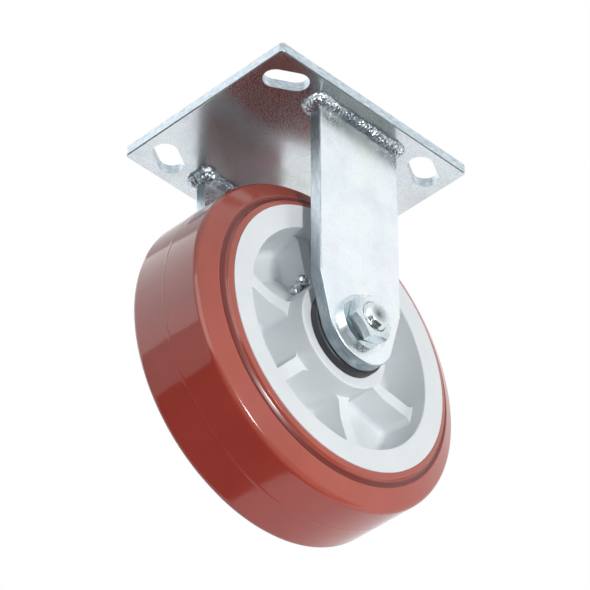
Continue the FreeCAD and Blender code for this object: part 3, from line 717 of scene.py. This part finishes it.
boltShape = {
    "radius": 6.33,
    "pitch": 1.954,
    "threadDepth": 1.05,
    "threadStart": 34.0,
    "ringsPerTurn": 14,
    "pastNut": 8.2,
    "pointChamfer": 1.5,
    "endDish": 0.55,
    "endRim": 0.05,
    # share of painted shade at the middle of the bolt's end
    "paintedEndShade": 0.95,
    "acrossFlats": 19.05,
    "headHeight": 7.9,
    "headDish": [(0.4, 0.35), (4.0, 0.35), (6.4, 0.25), (7.2, 0.0)],
    "seatRadius": 9.0,
    "seatHeight": 0.25,
    "faceShare": 0.95,
    "chamfer": 28,
    "headTurn": 41,
    "nutTurn": 17,
    "nutHeight": 6.0,
    "nutMouth": 7.3,
    "nutGap": 0.04,
    "segments": 360,
}


def hexRings(low, high, lowBevel, highBevel):
    # rings of a hexagon bar from its lower face to its upper one: the corners are turned
    # off by a cone, so that each column's edge lies at height = face -/+ (radius - face radius) * slope
    shape = boltShape
    rim = hexagonRadius(shape["segments"], shape["acrossFlats"])
    lead = shape["acrossFlats"] / 2 * shape["faceShare"]
    slope = math.tan(math.radians(shape["chamfer"]))
    radii = [lead + (rim - lead) * t for t in np.linspace(0, 1, 6)]
    lower = [(r, low + lowBevel * (r - lead) * slope) for r in radii]
    upper = [(r, high - highBevel * (r - lead) * slope) for r in reversed(radii)]
    bottom, top = lower[-1][1], upper[0][1]
    sides = [(rim, bottom + (top - bottom) * t) for t in np.linspace(0, 1, 8)[1:-1]]
    return lower + sides + upper


def threadRings(start, end, crest):
    # a screw thread: the radius falls and rises with the turn fraction height / pitch - angle / 360,
    # it fades in over one turn, and a cone of slope 0.9 cuts off the point
    shape = boltShape
    angle = np.linspace(0, 2 * math.pi, shape["segments"], endpoint=False)
    rings = []
    for height in np.arange(start, end, shape["pitch"] / shape["ringsPerTurn"]):
        turn = (height / shape["pitch"] - angle / (2 * math.pi)) % 1
        groove = np.clip(1.25 * (1 - np.abs(2 * turn - 1)) - 0.12, 0, 1)
        fade = min(1, (height - start) / shape["pitch"])
        point = crest - max(0, height - (end - shape["pointChamfer"])) * 0.9
        rings.append((np.minimum(crest - shape["threadDepth"] * groove * fade, point), height))
    return rings


def makeBolt():
    shape = boltShape
    crest, end = shape["radius"], washerFace + shape["pastNut"]
    under = -washerFace
    outer, seat = under - shape["headHeight"], under - shape["seatHeight"]
    rings = [(r, outer + depth) for r, depth in shape["headDish"]]
    rings += hexRings(outer, seat, 1, 0)
    rings += [(shape["seatRadius"], seat), (shape["seatRadius"] - 0.1, under)]
    rings += [(crest + 0.1, under), (crest, under + 0.3)]
    rings += [(crest, height) for height in np.linspace(under + 2, shape["threadStart"], 24)]
    rings += threadRings(shape["threadStart"] + 0.1, end, crest)
    # the end is a shallow dish, height = rim - depth (1 - t t), with a painted shade that darkens towards
    # its middle
    point = crest - shape["pointChamfer"]
    rim = end + shape["endRim"]
    dish = [(point * t, rim - shape["endDish"] * (1 - t * t)) for t in np.linspace(1, 0.06, 12)]
    bolt = turnedPiece("axleBoltTurned", rings + dish, shape["segments"], shape["headTurn"], closed=False)
    paintedShade = np.zeros((len(rings) + len(dish), shape["segments"]))
    paintedShade[len(rings):] = np.linspace(0, shape["paintedEndShade"], len(dish))[:, None]
    setAttribute(bolt, "paintedShade", paintedShade)
    return bolt


def makeNut():
    # two hexagon faces and a bore with a chamfer at each mouth
    shape = boltShape
    low, high = washerFace, washerFace + shape["nutHeight"]
    bore, mouth = shape["radius"] + shape["nutGap"], shape["nutMouth"]
    rings = [(bore, low + 0.6), (bore + 0.6, low)] + hexRings(low, high, 1, 1)
    rings += [(mouth + 0.15, high), (mouth, high - 0.06), (bore, high - 0.9)]
    rings += [(bore, height) for height in np.linspace(high - 1.4, low + 1.2, 5)]
    return turnedPiece("axleNutCut", rings, shape["segments"], shape["nutTurn"])


dress(makeBolt(), "fork", "zinc_hardware", hardware, "axle_bolt")
dress(makeNut(), "fork", "zinc_hardware", hardware, "axle_nut")
print("axle bolt and nut made")


# grease nipple

nippleShape = {
    "turn": 121,
    "seatRadius": 26.3,
    "seatHeight": 13.4,
    "tilt": 28,
    "shank": 2.38,
    "shankLength": 4,
    "acrossFlats": 6.0,
    "acrossCorners": 6.76,
    "collarHeight": 2.3,
    "collarTurn": 15,
    "neck": [(2.4, 2.35), (2.15, 2.7), (2.0, 4.0), (2.05, 4.8), (2.4, 5.4)],
    "head": [(2.9, 5.95), (3.15, 6.6), (3.15, 7.1), (2.9, 7.75), (2.3, 8.45), (1.6, 8.85), (1.2, 8.98)],
    "channel": 1.3,
    "mouth": 0.9,
    "mouthHeight": 8.9,
    "segments": 120,
}


def onNipple(points):
    # tilted about y, moved out to the seat, turned round the axle, then placed on the axle
    tilt, turn = math.radians(nippleShape["tilt"]), math.radians(nippleShape["turn"])
    x, y, z = points[..., 0], points[..., 1], points[..., 2]
    radial = x * math.cos(tilt) + z * math.sin(tilt) + nippleShape["seatRadius"] * millimetre
    height = -x * math.sin(tilt) + z * math.cos(tilt) + nippleShape["seatHeight"] * millimetre
    return onAxle(np.stack([radial * math.cos(turn) - y * math.sin(turn),
                            radial * math.sin(turn) + y * math.cos(turn), height], -1))


def makeNipple():
    # a hexagon collar, a waisted neck and a ball-shaped head with a narrow mouth
    shape = nippleShape
    rim = np.minimum(hexagonRadius(shape["segments"], shape["acrossFlats"]), shape["acrossCorners"] / 2)
    shank, collar = shape["shank"], shape["collarHeight"]
    foot, mouthTop = -shape["shankLength"], shape["mouthHeight"]
    outer = [(shape["channel"], foot), (shank - 0.3, foot), (shank, foot + 0.3), (shank, 0)]
    outer += [(rim - 0.25, 0), (rim, 0.2), (rim, collar - 0.3), (rim - 0.45, collar)]
    outer += shape["neck"] + shape["head"] + [(shape["mouth"], mouthTop)]
    inner = [(shape["mouth"], mouthTop - 0.8), (shape["channel"], mouthTop - 1.2), (shape["channel"], 2)]
    rings = outer + inner
    return turnedPiece("greaseNippleTurned", rings, shape["segments"], shape["collarTurn"], place=onNipple)


dress(makeNipple(), "wheel", "zinc_hardware", nippleFinish, "grease_nipple")
print("grease nipple made")


# stage: floor, backdrop, lamps and camera

stage = {
    "floorDepth": 1.5,
    "floorRadius": 5.0,
    "coveRadius": 1.4,
    "coveRings": 16,
    "rimAngle": 5.0,
    "columns": 96,
    "floorColour": (0.86, 0.86, 0.86),
    "floorShade": (0.84, 0.84, 0.84),
    "floorRoughness": 0.9,
    "floorClouds": 3,
    "floorLift": 0.75,
    "skyColour": (0.95, 0.98, 1),
    "skyFill": 0.27,
}
darkCard = {
    "reach": 4.9,
    "edge": 1.2,
    "lift": 0.05,
    "colour": (0.10, 0.10, 0.10),
}
floorHeight = plateLow.z - stage["floorDepth"]
stageAngle = np.linspace(0, 2 * math.pi, stage["columns"], endpoint=False)


def addSeen(tree):
    # 1 where the background is seen directly, mirrored or through glass, else 0
    rays = addNode(tree, "ShaderNodeLightPath")
    through = addMath(tree, "MAXIMUM", rays.outputs["Is Glossy Ray"], rays.outputs["Is Transmission Ray"])
    return addMath(tree, "MAXIMUM", rays.outputs["Is Camera Ray"], through)


def paleFloorMaterial():
    material, tree, shader = newMaterial("paleFloor")
    clouds = addNoise(tree, objectCoordinates(tree), stage["floorClouds"])
    colour = addRamp(tree, clouds, [(0.3, stage["floorShade"]), (0.7, stage["floorColour"])])
    link(tree, colour, shader.inputs["Base Color"])
    shader.inputs["Roughness"].default_value = stage["floorRoughness"]
    # where it is seen, the floor is lifted to the backdrop's white, and keeps its shadows
    lift = addNode(tree, "ShaderNodeEmission")
    lift.inputs["Strength"].default_value = stage["floorLift"]
    lifted = addNode(tree, "ShaderNodeAddShader")
    link(tree, shader.outputs[0], lifted.inputs[0])
    link(tree, lift.outputs[0], lifted.inputs[1])
    shown = addNode(tree, "ShaderNodeMixShader")
    link(tree, addSeen(tree), shown.inputs[0])
    link(tree, shader.outputs[0], shown.inputs[1])
    link(tree, lifted.outputs[0], shown.inputs[2])
    link(tree, shown.outputs[0], tree.nodes["Material Output"].inputs["Surface"])
    return material


def buildFloor():
    # a flat disc that curves up in a quarter-circle cove to a low rim
    radius, cove = stage["floorRadius"], stage["coveRadius"]
    outside = radius + cove
    turn = np.linspace(0, math.pi / 2, stage["coveRings"])
    rimHeight = axle.z + outside * math.tan(math.radians(stage["rimAngle"]))
    r = np.concatenate([[0.05, radius / 2], radius + cove * np.sin(turn), [outside]])[:, None]
    z = np.concatenate([[floorHeight] * 2, floorHeight + cove * (1 - np.cos(turn)), [rimHeight]])[:, None]
    points = np.stack([r * np.cos(stageAngle), r * np.sin(stageAngle), z + 0 * stageAngle], -1)
    columns = stage["columns"]
    cap = np.arange(columns)[None, ::-1]
    floor = newMesh("studioFloor", points, [gridFaces(len(r), columns, closedColumns=True), cap])
    floor.data.materials.append(paleFloorMaterial())


def buildWorld():
    # white where it is seen, and a weaker sky as the light on the object
    world = bpy.data.worlds.new("studioWorld")
    bpy.context.scene.world = world
    world.use_nodes = True
    tree = world.node_tree
    tree.nodes.clear()
    white = addNode(tree, "ShaderNodeBackground")
    white.inputs["Color"].default_value = (1, 1, 1, 1)
    fill = addNode(tree, "ShaderNodeBackground")
    fill.inputs["Color"].default_value = (*stage["skyColour"], 1)
    fill.inputs["Strength"].default_value = stage["skyFill"]
    mix = addNode(tree, "ShaderNodeMixShader")
    out = addNode(tree, "ShaderNodeOutputWorld")
    link(tree, addSeen(tree), mix.inputs[0])
    link(tree, fill.outputs[0], mix.inputs[1])
    link(tree, white.outputs[0], mix.inputs[2])
    link(tree, mix.outputs[0], out.inputs["Surface"])


def buildDarkCard():
    # a dark card just over the floor gives the metal its dark reflections: a disc cut off
    # along x + y = edge, which only mirrored rays see
    x, y = darkCard["reach"] * np.cos(stageAngle), darkCard["reach"] * np.sin(stageAngle)
    over = np.maximum(x + y - darkCard["edge"], 0) / 2
    height = np.full(stage["columns"], floorHeight + darkCard["lift"])
    outline = np.stack([x - over, y - over, height], -1)
    card = newMesh("darkCard", outline, [np.arange(stage["columns"])[None]])
    material, tree = newMaterial("darkCard")[:2]
    glow = addNode(tree, "ShaderNodeEmission")
    glow.inputs["Color"].default_value = (*darkCard["colour"], 1)
    link(tree, glow.outputs[0], tree.nodes["Material Output"].inputs["Surface"])
    card.data.materials.append(material)
    card.visible_camera = card.visible_diffuse = card.visible_shadow = card.visible_transmission = False


# mirroredOnly lamps show in reflections alone, softOnly lamps light matt surfaces alone
lamps = {
    "keyLeft": {"from": (-1.3, -0.5, 0.1), "size": (1.2, 1.2), "power": 10, "mirroredOnly": True},
    "keyRight": {"from": (0.9, -1.3, -0.7), "size": (0.55, 0.55), "power": 6, "softOnly": True},
    "backFill": {"from": (0.5, 1.6, 0.3), "size": (1.2, 1.2), "power": 11, "softOnly": True},
    "lowFront": {"from": (-0.30, -1.5, -0.75), "size": (0.26, 0.26), "power": 15},
    "highBack": {"from": (-0.50, 1.36, 0.80), "size": (3.6, 1.45), "power": 20, "mirroredOnly": True},
}


def buildLamps():
    aim = Vector((0, 0, axle.z))
    for name, look in lamps.items():
        lamp = bpy.data.lights.new(name, "AREA")
        lamp.shape = "RECTANGLE"
        lamp.size, lamp.size_y = look["size"]
        lamp.energy = look["power"]
        obj = bpy.data.objects.new(name, lamp)
        bpy.context.scene.collection.objects.link(obj)
        obj.location = Vector(look["from"])
        obj.rotation_mode = "QUATERNION"
        obj.rotation_quaternion = (aim - obj.location).to_track_quat("-Z", "Y")
        obj.visible_diffuse = not look.get("mirroredOnly", False)
        obj.visible_glossy = not look.get("softOnly", False)


shot = {
    "place": (-0.8379, -0.8380, -1.0164),
    "azimuth": -44.979,
    "elevation": -38.396,
    "roll": 0.096,
    "focalPixels": 3553.66,
    "framePixels": 590,
    "sensor": 36.0,
    "clip": (0.01, 50),
}


def buildCamera():
    camera = bpy.data.cameras.new("photoCamera")
    camera.sensor_width = shot["sensor"]
    camera.lens = shot["focalPixels"] / shot["framePixels"] * shot["sensor"]
    camera.clip_start, camera.clip_end = shot["clip"]
    obj = bpy.data.objects.new("photoCamera", camera)
    bpy.context.scene.collection.objects.link(obj)
    a, e = math.radians(shot["azimuth"]), math.radians(shot["elevation"])
    back = Vector((math.sin(a) * math.cos(e), -math.cos(a) * math.cos(e), math.sin(e)))
    obj.location = Vector(shot["place"])
    obj.rotation_mode = "QUATERNION"
    roll = Quaternion((0, 0, 1), math.radians(shot["roll"]))
    obj.rotation_quaternion = (-back).to_track_quat("-Z", "Y") @ roll
    bpy.context.scene.camera = obj


buildFloor()
buildWorld()
buildDarkCard()
buildLamps()
buildCamera()
bpy.context.scene.view_settings.view_transform = "Standard"
print("stage, lamps and camera set")
